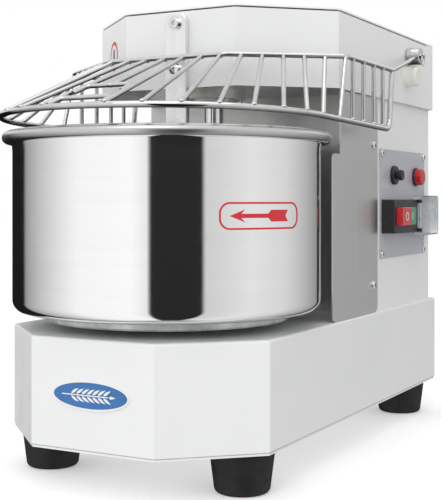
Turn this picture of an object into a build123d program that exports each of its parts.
from build123d import *
import math
import os

# Spiral dough mixer, table-top, 20 litre bowl. Millimetres.
# Frame: X = 0 is the symmetry plane of the housing, -Y is the front, Z = 0 is the
# surface that the rubber feet stand on.  Y = 0 is half way between the front of the
# guard and the end of the cable gland.

os.makedirs("parts", exist_ok=True)

# ---------------------------------------------------------------- driving dimensions
sheet = 2.0                    # housing sheet metal
run_gap = 0.05                 # radial clearance of a shaft in its bearing
loose = 0.3                    # clearance between parts that don't fit each other

foot_height = 50.0
foot_top_radius = 36.0
foot_sole_radius = 30.0
foot_x = 126.0
foot_front_y, foot_rear_y = -210.0, 305.0

base_half_width = 168.5
base_front, base_rear = -313.0, 345.0
base_corner_x, base_corner_y = 91.0, 84.0      # cut front corners
base_bottom = foot_height
base_top = base_bottom + 117.0
base_plate_thick = 3.0
base_plate_drop = 3.5          # the plate's underside is this far below the shell
base_plate_seam = 1.3          # open line between the shell and the plate's lip

column_half_width = 164.0
column_front, column_rear = 74.0, 328.0
column_bottom = base_top

head_half_width = 170.0
head_front, head_rear = -130.0, 330.0
head_corner_x, head_corner_y = 95.0, 87.5
head_bottom, head_rim, head_top = 447.0, 538.5, 543.0
lid_rear = 308.0
lid_gap = 1.0
head_plate_z, head_plate_thick = 451.0, 6.0

bowl_y = -155.0
bowl_radius = 180.0
bowl_wall = 1.5
bowl_bottom, bowl_bead_z = 185.5, 384.5
bowl_bead_radius = 7.0
bowl_bead_ring = 185.0
bowl_corner = 17.0
turntable_radius, turntable_thick = 142.0, 10.0
bowl_shaft_radius = 15.0

spiral_y = -42.0
spiral_shaft_radius = 12.0
spiral_rod_radius = 9.0
spiral_turn_radius = 50.0
spiral_joint_z = 330.0

breaker_width, breaker_thick = 29.0, 8.0
breaker_top, breaker_end = 534.5, 200.0

lower_wire_radius, upper_wire_radius, bar_radius = 3.5, 3.0, 2.6
guard_half_width = 193.0
guard_front_slope = 0.01625    # the lower wire rises this much per mm towards the front
guard_corner_z = 403.0         # lower wire at its rear corner
guard_corner_y = 69.0
guard_top_z = 479.5
guard_top_front, guard_top_side, guard_top_rear = -162.0, -75.0, 81.0
guard_top_corner_x = 78.0
hinge_y, hinge_z = 213.0, 513.0
boss_radius, boss_in, boss_out = 12.0, 170.6, 189.0

motor_x, motor_y = -88.0, 205.0
counter_x, counter_y = 50.0, 205.0
idler_y = 30.0
motor_shaft_radius, counter_radius, idler_radius = 9.0, 10.0, 7.0
motor_pulley_radius, counter_pulley_radius, groove_depth = 27.0, 100.0, 8.0
spiral_pitch, bowl_pitch = 12.7, 9.525          # chain pitches
spiral_teeth, counter_teeth = 21, 12            # the chain from countershaft to spiral
small_teeth, idler_teeth, bowl_teeth = 10, 35, 54
belt_z = (136.0, 150.0)
spiral_chain_z, reduction_chain_z, bowl_chain_z = 500.0, 112.0, 84.0

panel_face = column_half_width + sheet
panel_y = (112.0, 299.0)
panel_z = (236.0, 381.0)
switch_y = (117.0, 213.0)
switch_z = (269.0, 314.0)
switch_face = 184.0
cover_hinge_x, cover_hinge_y = 186.5, 216.0
cover_open_angle = 182.0


# ------------------------------------------------------------------------- helpers
def save(name, *solids):
    shape = solids[0] if len(solids) == 1 else Compound(children=list(solids))
    export_step(shape, f"parts/{name}.step")


def block(x, y, z):
    """A box from (low, high) pairs."""
    size = [b - a for a, b in (x, y, z)]
    middle = [(a + b) / 2 for a, b in (x, y, z)]
    return Pos(*middle) * Box(*size)


def post(radius, z0, z1, x=0.0, y=0.0):
    """A cylinder along Z."""
    return Pos(x, y, (z0 + z1) / 2) * Cylinder(radius, z1 - z0)


def stub(radius, x0, x1, y, z):
    """A cylinder along X."""
    return Pos((x0 + x1) / 2, y, z) * Rot(0, 90, 0) * Cylinder(radius, abs(x1 - x0))


def rod_along_y(radius, y0, y1, x, z):
    return Pos(x, (y0 + y1) / 2, z) * Rot(90, 0, 0) * Cylinder(radius, abs(y1 - y0))


def turned(points, x=0.0, y=0.0):
    """A solid of revolution about the vertical through (x, y), from (radius, z) points."""
    profile = make_face(Polyline(*[(r, 0, z) for r, z in points], close=True))
    return Pos(x, y, 0) * revolve(profile, Axis.Z)


def cut_corner_face(half_width, front, rear, cut_x, cut_y, inset=0.0, bend=4.0):
    """Plan outline of a housing whose two front corners are cut off."""
    slope = math.hypot(cut_x, cut_y)
    shift_x = inset * (slope - cut_y) / cut_x if inset else 0.0
    shift_y = inset * (slope - cut_x) / cut_y if inset else 0.0
    w, f, r = half_width - inset, front + inset, rear - inset
    corner_x = half_width - cut_x - shift_x
    corner_y = front + cut_y + shift_y
    points = [(-w, r), (-w, corner_y), (-corner_x, f), (corner_x, f), (w, corner_y), (w, r)]
    face = make_face(Polyline(*points, close=True))
    radius = max(bend - inset, 0.5)
    return fillet(face.vertices(), radius)


def prism(face, z0, z1):
    return Pos(0, 0, z0) * extrude(face, z1 - z0)


def wire_rod(path, radius):
    """A round rod swept along a path of straight runs and tangent arcs."""
    section = Plane(origin=path @ 0, z_dir=path % 0) * Circle(radius)
    return sweep(section, path=path)


def straight_rod(start, end, radius):
    axis = Vector(*end) - Vector(*start)
    plane = Plane(origin=start, z_dir=axis)
    return plane * Pos(0, 0, axis.length / 2) * Cylinder(radius, axis.length)


def dome_screw(radius, height, shank_radius, shank, where, direction):
    """A button-head screw: its head stands on `where` and its shank runs back from it."""
    head = Pos(0, 0, height / 2) * Cylinder(radius, height)
    head = fillet(head.edges().sort_by(Axis.Z)[-1], height * 0.7)
    head -= Pos(0, 0, height) * extrude(RegularPolygon(radius * 0.42, 6), -height * 0.6)
    shaft = Pos(0, 0, -shank / 2) * Cylinder(shank_radius, shank)
    return Plane(origin=where, z_dir=direction) * (head + shaft)


def belt_loop(first, second, r_first, r_second, half, z0, z1):
    """A closed band round two wheels; `half` is half its depth about the pitch line."""
    def outline(extra):
        rings = [Pos(*first) * Circle(r_first + extra), Pos(*second) * Circle(r_second + extra)]
        return make_hull([e for ring in rings for e in ring.edges()])
    return prism(outline(half), z0, z1) - prism(outline(-half), z0 - 1, z1 + 1)


def pitch_radius(pitch, teeth):
    return pitch / (2 * math.sin(math.pi / teeth))


def sprocket(pitch, teeth, z, bore, hub_radius, hub_to, where):
    """A chain wheel, 4 mm thick, with a hub that runs from it to the height hub_to."""
    radius = pitch_radius(pitch, teeth)
    disc = Circle(radius + pitch * 0.3)
    gaps = PolarLocations(radius, teeth) * Circle(pitch * 0.33)
    wheel = prism(disc - gaps, z - 2, z + 2)
    wheel += post(hub_radius, min(z - 2, hub_to), max(z + 2, hub_to))
    wheel -= post(bore, z - 60, z + 60)
    return Pos(*where, 0) * wheel


def chain(pitch, first, second, teeth_first, teeth_second, z):
    """A roller chain: two side bands, joined by rollers on the two straight runs."""
    r1, r2 = pitch_radius(pitch, teeth_first), pitch_radius(pitch, teeth_second)
    depth = pitch * 0.4
    low = belt_loop(first, second, r1, r2, depth, z - 4.2, z - 3.0)
    high = belt_loop(first, second, r1, r2, depth, z + 3.0, z + 4.2)
    a, b = Vector(*first), Vector(*second)
    span = b - a
    lean = math.asin((r1 - r2) / span.length)
    count = int((span.length - r1 * 0.5 - r2 * 0.5 - 6 * pitch) / pitch)
    rollers = []
    for side in (1, -1):
        heading = math.atan2(span.Y, span.X) + side * (math.pi / 2 - lean)
        normal = Vector(math.cos(heading), math.sin(heading))
        start, end = a + normal * r1, b + normal * r2
        for i in range(count + 1):
            at = start + (end - start) * ((i - count / 2) * pitch / (end - start).length + 0.5)
            rollers.append(post(pitch * 0.3, z - 3.5, z + 3.5, at.X, at.Y))
    return low + high + rollers


def grooved_pulley(radius, bore, hub_radius, z0, z1, where, holes=0):
    """A belt pulley with one groove between two flanges."""
    lip = 2.2
    groove = radius - groove_depth
    points = [(bore, z0), (radius, z0), (radius, z0 + lip), (groove, z0 + lip),
              (groove, z1 - lip), (radius, z1 - lip), (radius, z1), (bore, z1)]
    wheel = turned(points)
    for angle in range(0, 360, 360 // holes if holes else 360):
        if holes:
            window = post(radius * 0.2, z0 - 1, z1 + 1, radius * 0.55)
            wheel -= Rot(0, 0, angle) * window
    return Pos(*where, 0) * (wheel + (post(hub_radius, z0, z1 + 8) - post(bore, z0, z1 + 9)))


# --------------------------------------------------------------------------- base
def base_face(inset=0.0):
    return cut_corner_face(base_half_width, base_front, base_rear,
                           base_corner_x, base_corner_y, inset)


def make_base():
    shell = prism(base_face(), base_bottom, base_top)
    shell = fillet(shell.faces().sort_by(Axis.Z)[-1].edges(), 3.0)
    shell -= prism(base_face(sheet), base_bottom - 1, base_top - sheet)
    shaft_opening = 24.0
    shell -= post(shaft_opening, base_top - 5, base_top + 1, 0, bowl_y)
    # the belt, the motor shaft and the countershaft pass under the column
    drive_x, drive_y = (-140.0, 140.0), (112.0, 300.0)
    shell -= block(drive_x, drive_y, (base_top - 5, base_top + 1))
    save("base_shell", shell)

    # the plate closes the shell from below; its lip stops short of the shell's edge
    plate_low = base_bottom - base_plate_drop
    lip_top = base_bottom - base_plate_seam
    plate = prism(base_face(1.0), plate_low, lip_top)
    plate += prism(base_face(sheet + 0.5), plate_low, plate_low + base_plate_thick + base_plate_seam)
    save("base_plate", plate)

    sole_round, top_round = 6.0, 1.5
    screw_hole, screw_depth = 6.0, 12.0
    feet = []
    for x in (-foot_x, foot_x):
        for y in (foot_front_y, foot_rear_y):
            foot = Pos(x, y, 0) * Solid.make_cone(foot_sole_radius, foot_top_radius, plate_low)
            foot = fillet(foot.edges().sort_by(Axis.Z)[0], sole_round)
            foot = fillet(foot.edges().sort_by(Axis.Z)[-1], top_round)
            foot -= post(screw_hole, -1, screw_depth, x, y)
            feet.append(foot)
    save("rubber_feet", *feet)


# ------------------------------------------------------------------------- column
def make_column():
    w = column_half_width
    top = head_plate_z
    shell = block((-w, w), (column_front, column_rear), (column_bottom, top))
    upright = shell.edges().filter_by(Axis.Z).sort_by(Axis.Y)[-2:]
    shell = fillet(upright, 4.0)
    inner = block((-w + sheet, w - sheet), (column_front + sheet, column_rear - sheet),
                  (column_bottom - 1, top + 1))
    shell -= fillet(inner.edges().filter_by(Axis.Z).sort_by(Axis.Y)[-2:], 2.0)
    # open front behind the stainless plate, open back behind the rear cover
    shell -= block((-140, 140), (column_front - 1, column_front + 5), (185, 430))
    shell -= block((-115, 115), (column_rear - 5, column_rear + 1), (200, 415))
    # window behind the control panel
    margin_y, margin_z = 8.0, 12.0
    shell -= block((w - 5, w + 1), (panel_y[0] + margin_y, panel_y[1] - margin_y),
                   (panel_z[0] + margin_z, panel_z[1] - margin_z))
    wing_screw_y, wing_screw_z = 87.0, (203, 384)
    cover_x, cover_z = (-130.0, 130.0), (185.0, 430.0)
    cover_screws = [(x, z) for x in (-122, 122) for z in (195, 307.5, 420)]
    for z in wing_screw_z:
        shell -= stub(2.6, w - 5, w + 1, wing_screw_y, z)
    for x, z in cover_screws:
        shell -= rod_along_y(2.3, column_rear - 5, column_rear + 1, x, z)
    save("column_shell", shell)

    front = block((-w, w), (column_front - 1.5, column_front), (column_bottom, top))
    save("column_front_plate", front)

    # flat stainless wing on the right, beside the bowl; its upper front is cut back
    wing_front, wing_step, wing_rear = -51.0, -26.0, 103.0
    step_z, wing_low, wing_high = 369.0, column_bottom + 0.5, head_bottom - 0.5
    points = [(wing_front, wing_low), (wing_rear, wing_low), (wing_rear, wing_high),
              (wing_step, wing_high), (wing_step, step_z), (wing_front, step_z)]
    outline = make_face(Polyline(*points, close=True))
    low_corners = outline.vertices().group_by(Axis.Y)[0]
    outline = fillet(low_corners, 9.0)
    outline = fillet(outline.vertices().sort_by_distance((wing_front, step_z, 0))[0], 5.0)
    wing_plane = Plane(origin=(w, 0, 0), x_dir=(0, 1, 0), z_dir=(1, 0, 0))
    wing = wing_plane * extrude(outline, 1.5)
    for z in wing_screw_z:
        wing -= stub(2.6, w - 1, w + 3, wing_screw_y, z)
    save("splash_shield", wing)
    save("shield_screws",
         *[dome_screw(5.5, 3.0, 2.5, 8.0, (w + 1.5, wing_screw_y, z), (1, 0, 0)) for z in wing_screw_z])

    cover = block(cover_x, (column_rear, column_rear + sheet), cover_z)
    cover = fillet(cover.edges().filter_by(Axis.Y), 6.0)
    slot_rows, slot_step, slot_low, slot_half = 9, 9.0, 330.0, 70.0
    for row in range(slot_rows):
        z = slot_low + row * slot_step
        slot = block((-slot_half, slot_half), (column_rear - 1, column_rear + 4), (z - 2, z + 2))
        cover -= fillet(slot.edges().filter_by(Axis.Y), 1.9)
    gland_x, gland_z = 95.0, 218.0
    cover -= rod_along_y(10.0, column_rear - 1, column_rear + 4, gland_x, gland_z)
    for x, z in cover_screws:
        cover -= rod_along_y(2.3, column_rear - 1, column_rear + 4, x, z)
    save("rear_cover", cover)
    save("rear_cover_screws",
         *[dome_screw(5.0, 2.6, 2.2, 6.0, (x, column_rear + sheet, z), (0, 1, 0)) for x, z in cover_screws])

    # cable gland, empty: a hexagon nut outside, a thread and a lock nut inside
    gland_end = 351.5
    rear = column_rear + sheet
    nut = extrude(RegularPolygon(14, 6), 9)
    gland = Plane(origin=(gland_x, rear, gland_z), z_dir=(0, 1, 0)) * nut
    gland += rod_along_y(11.0, rear, gland_end, gland_x, gland_z)
    gland = fillet(gland.edges().sort_by(Axis.Y)[-1], 3.0)
    gland += rod_along_y(10.0 - loose, rear - 14, rear, gland_x, gland_z)
    lock_nut = extrude(RegularPolygon(14, 6), 5.9)
    gland += Plane(origin=(gland_x, column_rear - 6, gland_z), z_dir=(0, 1, 0)) * lock_nut
    gland -= rod_along_y(5.0, rear - 20, gland_end + 1, gland_x, gland_z)
    save("cable_gland", gland)


# --------------------------------------------------------------------------- head
def head_face(inset=0.0, rear=head_rear):
    return cut_corner_face(head_half_width, head_front, rear, head_corner_x, head_corner_y, inset)


def make_head():
    outer = prism(head_face(), head_bottom, head_top)
    outer -= block((-200, 200), (-200, lid_rear + 0.5), (head_rim, head_top + 1))
    outer -= prism(head_face(sheet), head_bottom - 1, head_rim - sheet)
    # the lid stands on an inward flange
    outer -= prism(head_face(16.0, lid_rear - 6), head_rim - 5, head_rim + 1)
    for x in (-head_half_width, head_half_width):
        inward = 5 * (-1 if x > 0 else 1)
        outer -= stub(5.0, x - inward, x + inward, hinge_y, hinge_z)
    lid_screw_spots = [(x, y) for x in (-158, 158) for y in (-30, 257)]
    for x, y in lid_screw_spots:
        outer -= post(2.6, head_rim - 20, head_rim + 1, x, y)
    save("head_shell", outer)

    plate = prism(head_face(sheet), head_plate_z, head_plate_z + head_plate_thick)
    plate -= post(31.0, head_plate_z - 1, head_plate_z + 9, 0, spiral_y)
    plate -= post(20.0, head_plate_z - 1, head_plate_z + 9, counter_x, counter_y)
    save("head_base_plate", plate)

    lid_low = head_rim + lid_gap
    lid = prism(head_face(0.0, lid_rear), lid_low, head_top)
    lid = fillet(lid.faces().sort_by(Axis.Z)[-1].edges(), 1.2)
    lid += prism(head_face(4.0, lid_rear), head_rim, lid_low)
    for x, y in lid_screw_spots:
        lid -= post(2.6, head_rim - 1, head_top + 1, x, y)
    save("head_lid", lid)
    screws = [dome_screw(4.8, 2.5, 2.5, 9.0, (x, y, head_top), (0, 0, 1)) for x, y in lid_screw_spots]
    save("lid_screws", *screws)

    bar = block((-breaker_width / 2, breaker_width / 2), (head_front - breaker_thick, head_front),
                (breaker_end, breaker_top))
    bar = fillet(bar.edges().filter_by(Axis.Y), 9.0)
    bar = chamfer(bar.faces().sort_by(Axis.Y)[0].edges(), 1.0)
    bolt_heights = (523.5, 468.0)
    for z in bolt_heights:
        bar -= rod_along_y(4.2, head_front - 10, head_front + 1, 0, z)
    save("breaker_bar", bar)
    bolts = []
    for z in bolt_heights:
        bolt = rod_along_y(6.5, head_front - breaker_thick - 5, head_front - breaker_thick, 0, z)
        bolt = fillet(bolt.edges().sort_by(Axis.Y)[0], 1.2)
        socket = Plane(origin=(0, head_front - breaker_thick - 5, z), z_dir=(0, 1, 0))
        bolt -= socket * extrude(RegularPolygon(3.2, 6), 3)
        bolt += rod_along_y(4.0, head_front - breaker_thick, head_front, 0, z)
        washer = rod_along_y(8.2, head_front - breaker_thick - 1.2, head_front - breaker_thick, 0, z)
        bolts.append(bolt + washer)
    save("breaker_bar_bolts", *bolts)


# --------------------------------------------------------------------- bowl group
def make_bowl():
    r, c, t = bowl_radius, bowl_corner, bowl_wall
    bend = 0.7071
    outline = [
        Line((0, bowl_bottom), (r - c, bowl_bottom)),
        ThreePointArc((r - c, bowl_bottom), (r - c + c * bend, bowl_bottom + c - c * bend),
                      (r, bowl_bottom + c)),
        Line((r, bowl_bottom + c), (r, bowl_bead_z)),
        Line((r, bowl_bead_z), (r - t, bowl_bead_z)),
        Line((r - t, bowl_bead_z), (r - t, bowl_bottom + c)),
        ThreePointArc((r - t, bowl_bottom + c),
                      (r - c + (c - t) * bend, bowl_bottom + c - (c - t) * bend),
                      (r - c, bowl_bottom + t)),
        Line((r - c, bowl_bottom + t), (0, bowl_bottom + t)),
        Line((0, bowl_bottom + t), (0, bowl_bottom)),
    ]
    profile = Plane.XZ * make_face(outline)
    bead = Plane.XZ * Pos(bowl_bead_ring, bowl_bead_z) * Circle(bowl_bead_radius)
    bowl = revolve(profile, Axis.Z) + revolve(bead, Axis.Z)
    save("bowl", Pos(0, bowl_y, 0) * bowl)

    low = bowl_bottom - turntable_thick
    rim = turntable_radius
    points = [(bowl_shaft_radius, base_top + 1), (22, base_top + 1), (22, low), (rim - 2, low),
              (rim, low + 2), (rim, bowl_bottom - 1.5), (rim - 1.5, bowl_bottom),
              (bowl_shaft_radius, bowl_bottom)]
    save("turntable", turned(points, 0, bowl_y))

    shaft = post(bowl_shaft_radius, 72, bowl_bottom, 0, bowl_y)
    save("bowl_shaft", shaft)
    save("bowl_sprocket",
         sprocket(bowl_pitch, bowl_teeth, bowl_chain_z, bowl_shaft_radius, 24, 98, (0, bowl_y)))

    bore = bowl_shaft_radius + run_gap
    top = base_top - sheet
    points = [(bore, 104), (34, 104), (34, top - 6), (52, top - 6), (52, top), (bore, top)]
    save("bowl_bearing_housing", turned(points, 0, bowl_y))


# ------------------------------------------------------------------- spiral group
def spiral_path():
    """The rod leaves its stem, opens into a coil and curls in again at the bottom."""
    stem_end, coil_top, coil_low = 318.0, 288.0, 205.0
    steps_per_turn, turns = 8, 1.75
    count = int(steps_per_turn * turns)
    points = [(0, spiral_y, spiral_joint_z), (0, spiral_y, stem_end - 4)]
    for i in range(count + 1):
        share = i / count
        angle = math.radians(-90 - i * 360 / steps_per_turn)
        opening = min(1.0, 0.62 + 0.38 * i / 2)
        closing = 1.0 if share < 0.85 else 1.0 - (share - 0.85) * 2.6
        radius = spiral_turn_radius * opening * closing
        z = coil_top + (coil_low - coil_top) * share
        points.append((radius * math.cos(angle), spiral_y + radius * math.sin(angle), z))
    bends = []
    for before, here, after in zip(points, points[1:], points[2:]):
        run_in, run_out = Vector(*here) - Vector(*before), Vector(*after) - Vector(*here)
        turn = math.radians(run_in.get_angle(run_out))
        bends.append(0.45 * min(run_in.length, run_out.length) / math.tan(turn / 2))
    return FilletPolyline(*points, radius=bends)


def make_spiral():
    hook = wire_rod(spiral_path(), spiral_rod_radius)
    sleeve = post(spiral_shaft_radius, 316, spiral_joint_z, 0, spiral_y)
    hook += fillet(sleeve.edges().sort_by(Axis.Z)[0], 2.5)
    save("spiral_hook", hook)
    shaft = post(spiral_shaft_radius, spiral_joint_z, 516, 0, spiral_y)
    save("spiral_shaft", shaft)
    save("spiral_sprocket",
         sprocket(spiral_pitch, spiral_teeth, spiral_chain_z, spiral_shaft_radius, 20, 488,
                  (0, spiral_y)))

    bore = spiral_shaft_radius + run_gap
    points = [(bore, 434), (26, 434), (28, 436), (28, 440), (39, 440), (39, head_plate_z),
              (31 - loose, head_plate_z), (31 - loose, 484), (bore, 484)]
    housing = turned(points, 0, spiral_y)
    bolts = []
    for angle in (45, 135, 225, 315):
        x = 33.5 * math.cos(math.radians(angle))
        y = spiral_y + 33.5 * math.sin(math.radians(angle))
        housing -= post(2.1, 439, head_plate_z + 1, x, y)
        bolts.append(dome_screw(4.2, 4.0, 2.0, 10.5, (x, y, 440), (0, 0, -1)))
    save("spiral_bearing_housing", housing)
    save("flange_bolts", *bolts)


# ---------------------------------------------------------------------- the drive
def make_drive():
    radius, low, high, cowl_top = 54.0, 196.0, 350.0, 376.0
    body = post(radius, low, high, motor_x, motor_y)
    fins = [Rot(0, 0, a) * block((radius - 4, radius + 8), (-1.5, 1.5), (low + 9, high - 15))
            for a in range(0, 360, 20)]
    body += [Pos(motor_x, motor_y, 0) * fin for fin in fins]
    body += post(radius + 4, high, cowl_top, motor_x, motor_y)
    body += block((motor_x - 22, motor_x + 22), (motor_y - 84, motor_y - 50), (250, 300))
    body += post(40, base_top + 8, low, motor_x, motor_y)
    body -= post(motor_shaft_radius + run_gap, base_top, 300, motor_x, motor_y)
    save("motor_body", body)
    bracket = block((motor_x - 62, motor_x + 220), (105, 320), (base_top, base_top + 8))
    bracket -= post(motor_shaft_radius + 2, base_top - 1, base_top + 9, motor_x, motor_y)
    bracket -= post(22, base_top - 1, base_top + 9, counter_x, counter_y)
    save("motor_bracket", bracket)
    save("motor_shaft", post(motor_shaft_radius, 128, 299, motor_x, motor_y))
    low, high = belt_z
    motor_at, counter_at, idler_at = (motor_x, motor_y), (counter_x, counter_y), (0, idler_y)
    save("motor_pulley",
         grooved_pulley(motor_pulley_radius, motor_shaft_radius, 16, low, high, motor_at))

    save("countershaft", post(counter_radius, 58, 512, *counter_at))
    save("countershaft_pulley",
         grooved_pulley(counter_pulley_radius, counter_radius, 22, low, high, counter_at, holes=5))
    upper = sprocket(spiral_pitch, counter_teeth, spiral_chain_z, counter_radius, 17, 486, counter_at)
    lower = sprocket(bowl_pitch, small_teeth, reduction_chain_z, counter_radius, 11, 120, counter_at)
    save("countershaft_sprockets", upper, lower)

    save("idler_shaft", post(idler_radius, 56, 126, *idler_at))
    large = sprocket(bowl_pitch, idler_teeth, reduction_chain_z, idler_radius, 20, 122, idler_at)
    small = sprocket(bowl_pitch, small_teeth, bowl_chain_z, idler_radius, 11, 96, idler_at)
    save("idler_sprockets", large, small)

    floor = base_bottom - base_plate_drop + base_plate_thick + base_plate_seam
    blocks = []
    for x, y, radius in ((*counter_at, counter_radius), (*idler_at, idler_radius)):
        seat = turned([(radius + run_gap, floor), (30, floor), (30, floor + 5),
                       (radius + 10, floor + 5), (radius + 10, floor + 20),
                       (radius + run_gap, floor + 20)], x, y)
        blocks.append(seat)
    top = head_plate_z + head_plate_thick
    bore = counter_radius + run_gap
    blocks.append(turned([(bore, top), (36, top), (36, top + 5), (22, top + 5),
                          (22, top + 22), (bore, top + 22)], *counter_at))
    save("shaft_bearings", *blocks)

    belt_half = 3.5
    reach = loose + belt_half - groove_depth
    belt = belt_loop(motor_at, counter_at, motor_pulley_radius + reach,
                     counter_pulley_radius + reach, belt_half, low + 2.5, high - 2.5)
    save("drive_belt", belt)
    save("spiral_chain", chain(spiral_pitch, counter_at, (0, spiral_y),
                               counter_teeth, spiral_teeth, spiral_chain_z))
    save("reduction_chain", chain(bowl_pitch, counter_at, idler_at,
                                  small_teeth, idler_teeth, reduction_chain_z))
    save("bowl_chain", chain(bowl_pitch, idler_at, (0, bowl_y),
                             small_teeth, bowl_teeth, bowl_chain_z))


# -------------------------------------------------------------------------- guard
def lower_wire_z(y):
    return guard_corner_z + (guard_corner_y - y) * guard_front_slope


def lower_wire_point(travel):
    """A point on the right half of the lower wire, by the length run from its front."""
    quarter = guard_half_width * math.pi / 2
    if travel <= quarter:
        angle = travel / guard_half_width
        x, y = guard_half_width * math.sin(angle), bowl_y - guard_half_width * math.cos(angle)
    else:
        x, y = guard_half_width, bowl_y + travel - quarter
    return x, y, lower_wire_z(y)


def upper_wire_point(travel):
    """A point on the right half of the upper wire, by the length run from its front."""
    corner = Vector(guard_top_corner_x, guard_top_front, guard_top_z)
    side = Vector(guard_half_width, guard_top_side, guard_top_z)
    slant = (side - corner).length
    if travel <= guard_top_corner_x:
        point = Vector(travel, guard_top_front, guard_top_z)
    elif travel <= guard_top_corner_x + slant:
        point = corner + (side - corner) * ((travel - guard_top_corner_x) / slant)
    else:
        point = side + Vector(0, travel - guard_top_corner_x - slant, 0)
    return point.X, point.Y, point.Z


def make_guard():
    # lower wire: a half circle round the bowl's front, two straight sides, two upright ends
    tilt = math.atan(guard_front_slope)
    level = Plane(origin=(0, bowl_y, lower_wire_z(bowl_y)), x_dir=(1, 0, 0),
                  z_dir=(0, math.sin(tilt), math.cos(tilt)))
    back = guard_corner_y - bowl_y
    top = guard_top_z - guard_corner_z - 2
    w = guard_half_width
    lean = guard_top_rear - guard_corner_y - 2
    left = FilletPolyline((-w, back + lean, top), (-w, back, 0), (-w, 0, 0), radius=14)
    front = CenterArc((0, 0, 0), w, 180, 180)
    right = FilletPolyline((w, 0, 0), (w, back, 0), (w, back + lean, top), radius=14)
    path = Wire([level * e for part in (left, front, right) for e in part.edges()])
    save("guard_lower_wire", wire_rod(path, lower_wire_radius))

    # upper wire: follows the head's cut corners, then rises to the hinge bosses
    rod_x, rod_y, rod_z = 182.0, hinge_y - 10, hinge_z - 4
    half = [(guard_top_corner_x, guard_top_front, guard_top_z), (w, guard_top_side, guard_top_z),
            (w, guard_top_rear, guard_top_z), (rod_x, rod_y, rod_z)]
    points = [(-x, y, z) for x, y, z in reversed(half)] + half
    upper = FilletPolyline(*points, radius=12)
    save("guard_upper_wire", wire_rod(upper, upper_wire_radius))

    # bars: pairs left and right of the centre bar, evenly spaced on both wires
    top_step, low_step, pairs = 24.5, 39.1, 9
    bars = []

    def bar(low, high, side=1):
        ends = [(side * x, y, z + lift) for (x, y, z), lift in ((low, 2.5), (high, -1.0))]
        bars.append(straight_rod(*ends, bar_radius))

    last_low = guard_half_width * math.pi / 2 + 58
    for k in range(1, pairs + 1):
        low = lower_wire_point(k * low_step if k < pairs else last_low)
        for side in (1, -1):
            bar(low, upper_wire_point(k * top_step), side)
    for y in (-57, -22, 13, 45):
        for side in (1, -1):
            bar((w, y, lower_wire_z(y)), (w, y, guard_top_z), side)

    # feed opening at the front: the centre bar stops at a cross wire, and a second
    # cross wire closes the frame below it; both have short legs along the next bars
    low1, high1 = Vector(*lower_wire_point(low_step)), Vector(*upper_wire_point(top_step))
    along = high1 - low1

    def on_bar(share, side):
        point = low1 + along * share
        return side * (point.X - 5.0), point.Y, point.Z + 2.0

    feed_wires = []
    for share, leg in ((0.13, 0.12), (0.37, 0.14)):
        points = [on_bar(share - leg, -1), on_bar(share, -1), on_bar(share, 1), on_bar(share - leg, 1)]
        feed_wires.append(wire_rod(FilletPolyline(*points, radius=5), bar_radius))
    save("guard_feed_wires", *feed_wires)
    stop = low1 + along * 0.37
    bar((0.0, stop.Y, stop.Z - 1.5), upper_wire_point(0.0))
    save("guard_bars", *bars)

    bosses, pins, rings, bumpers = [], [], [], []
    for side in (1, -1):
        boss = stub(boss_radius, side * boss_in, side * boss_out, hinge_y, hinge_z)
        boss = chamfer(boss.edges().filter_by(GeomType.CIRCLE), 0.8)
        bosses.append(boss - stub(5 + run_gap, side * 165, side * 195, hinge_y, hinge_z))
        pin = stub(5, side * 158, side * (boss_out + 0.6), hinge_y, hinge_z)
        pin += stub(3, side * boss_out, side * 194.5, hinge_y, hinge_z)
        pin -= rod_along_y(1.7, hinge_y - 6, hinge_y + 6, side * 192, hinge_z)
        pins.append(pin)
        ring = Pos(side * 192, hinge_y, hinge_z - 6.5) * Rot(0, 90, 0) * Torus(6.5, 0.8)
        rings.append(ring)
        bumper = stub(14, side * head_half_width, side * 188, hinge_y - 8, hinge_z - 28.5)
        outer = bumper.edges().filter_by(GeomType.CIRCLE).sort_by(Axis.X)[-1 if side > 0 else 0]
        bumpers.append(fillet(outer, 4.0))
    save("guard_hinge_bosses", *bosses)
    save("guard_hinge_pins", *pins)
    save("retaining_rings", *rings)
    save("guard_bumpers", *bumpers)

    # interlock switch inside the head: its roller stands beside the right hinge pin
    switch = block((118, 150), (hinge_y - 50, hinge_y - 12), (496, 530))
    switch = fillet(switch.edges().filter_by(Axis.X), 2.0)
    switch += rod_along_y(3.0, hinge_y - 12, hinge_y - 4, 134, hinge_z)
    switch += stub(6.0, 130, 138, hinge_y - 2, hinge_z)
    bracket = block((150, head_half_width - sheet), (hinge_y - 46, hinge_y - 16), (498, 501))
    save("guard_safety_switch", switch + bracket)


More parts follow.
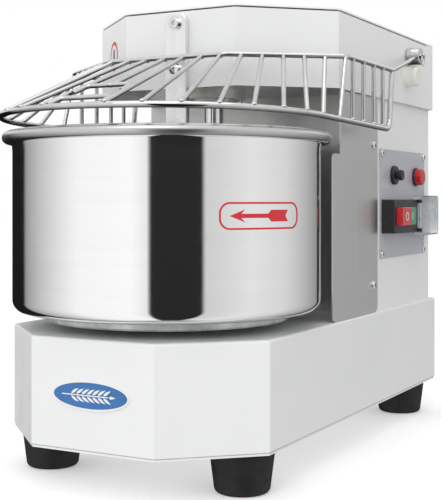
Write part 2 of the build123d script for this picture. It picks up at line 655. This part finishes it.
# ----------------------------------------------------------------- control panel
def make_controls():
    w = column_half_width
    knob_y, knob_z = 163.0, 347.0
    lamp_y, lamp_z = 256.0, 346.0
    panel = block((w, panel_face), panel_y, panel_z)
    panel = fillet(panel.edges().filter_by(Axis.X), 3.0)
    body_y = (switch_y[0] + 6, switch_y[1] - 6)
    body_z = (switch_z[0] + 4, switch_z[1] - 4)
    panel -= block((w - 1, panel_face + 1), (body_y[0] - loose, body_y[1] + loose),
                   (body_z[0] - loose, body_z[1] + loose))
    panel -= stub(6.6, w - 1, panel_face + 1, knob_y, knob_z)
    panel -= stub(8.5, w - 1, panel_face + 1, lamp_y, lamp_z)
    inset = 5.5
    corners = [(y, z) for y in (panel_y[0] + inset, panel_y[1] - inset)
               for z in (panel_z[0] + inset, panel_z[1] - inset)]
    for y, z in corners:
        panel -= stub(1.9, w - 1, panel_face + 1, y, z)
    save("control_panel", panel)
    save("panel_screws",
         *[dome_screw(4.8, 2.6, 1.8, 1.9, (panel_face, y, z), (1, 0, 0)) for y, z in corners])

    # overload reset: a round bezel with a push stem in it
    bezel = stub(12.8, panel_face, panel_face + 5, knob_y, knob_z)
    bezel = fillet(bezel.edges().filter_by(GeomType.CIRCLE).sort_by(Axis.X)[-1], 1.5)
    bezel += stub(6.4, panel_face - 30, panel_face, knob_y, knob_z)
    bezel -= stub(5.2, panel_face - 12, panel_face + 6, knob_y, knob_z)
    save("reset_bezel", bezel)
    button = stub(5.0, panel_face - 6, panel_face + 10, knob_y, knob_z)
    cap = stub(7.2, panel_face + 9, panel_face + 14, knob_y, knob_z)
    cap = fillet(cap.edges().filter_by(GeomType.CIRCLE).sort_by(Axis.X)[-1], 1.6)
    save("reset_button", button + cap)

    bezel = stub(13.2, panel_face, panel_face + 3.5, lamp_y, lamp_z)
    bezel = fillet(bezel.edges().filter_by(GeomType.CIRCLE).sort_by(Axis.X)[-1], 1.0)
    bezel += stub(8.2, panel_face - 24, panel_face, lamp_y, lamp_z)
    save("pilot_lamp_bezel", bezel)
    lens = stub(11.6, panel_face + 3.5, panel_face + 12.5, lamp_y, lamp_z)
    lens = fillet(lens.edges().filter_by(GeomType.CIRCLE).sort_by(Axis.X)[-1], 3.0)
    save("pilot_lamp_lens", lens)

    # start and stop switch: a bezel box outside, its body through the panel
    bezel = block((panel_face, switch_face), switch_y, switch_z)
    bezel = fillet(bezel.edges().filter_by(Axis.X), 2.0)
    bezel = fillet(bezel.faces().sort_by(Axis.X)[-1].edges(), 1.2)
    housing = bezel + block((panel_face - 36, panel_face), body_y, body_z)
    stop_y, start_y = (125.0, 160.0), (163.0, 195.0)
    button_z = (switch_z[0] + 10, switch_z[1] - 10)
    for span in (stop_y, start_y):
        housing -= block((150, switch_face + 1), span, button_z)
    lug_radius = 3.0
    for z in ((switch_z[0], switch_z[0] + 5), (switch_z[1] - 5, switch_z[1])):
        lug = post(lug_radius, *z, cover_hinge_x, cover_hinge_y)
        lug += block((switch_face - 6, cover_hinge_x), (switch_y[1] - 0.5, cover_hinge_y + 2), z)
        housing += lug
    pin_radius = 1.2
    housing -= post(pin_radius, switch_z[0] - 1, switch_z[1] + 1, cover_hinge_x, cover_hinge_y)
    save("switch_housing", housing)
    save("cover_hinge_pin", post(pin_radius, *switch_z, cover_hinge_x, cover_hinge_y))

    def push_button(name, span, face):
        y = (span[0] + loose, span[1] - loose)
        z = (button_z[0] + loose, button_z[1] - loose)
        body = block((157, face), y, z)
        body = fillet(body.edges().filter_by(Axis.X), 1.5)
        save(name, fillet(body.faces().sort_by(Axis.X)[-1].edges(), 1.2))

    push_button("stop_button", stop_y, switch_face + 9)
    push_button("start_button", start_y, switch_face + 4.5)

    # clear flip cover, drawn closed over the switch and then turned open
    cover_y, cover_z = (121.0, 211.5), (263.5, 319.5)
    skin = 1.6
    top = switch_face + 15
    tray = block((cover_hinge_x - 0.5, top), cover_y, cover_z)
    tray = fillet(tray.edges().filter_by(Axis.X), 7.0)
    tray = fillet(tray.faces().sort_by(Axis.X)[-1].edges(), 3.0)
    hollow = block((cover_hinge_x - 2, top - skin), (cover_y[0] + skin, cover_y[1] - skin),
                   (cover_z[0] + skin, cover_z[1] - skin))
    tray -= fillet(hollow.edges().filter_by(Axis.X), 5.4)
    knuckle_z = (switch_z[0] + 5 + loose, switch_z[1] - 5 - loose)
    tray += block((cover_hinge_x, cover_hinge_x + 3), (cover_y[1] - 1, cover_hinge_y), knuckle_z)
    tray += post(lug_radius, *knuckle_z, cover_hinge_x, cover_hinge_y)
    tray -= post(pin_radius + run_gap, 200, 400, cover_hinge_x, cover_hinge_y)
    hinge = Axis((cover_hinge_x, cover_hinge_y, 0), (0, 0, 1))
    save("switch_cover", tray.rotate(hinge, cover_open_angle))


make_base()
make_column()
make_head()
make_bowl()
make_spiral()
make_drive()
make_guard()
make_controls()
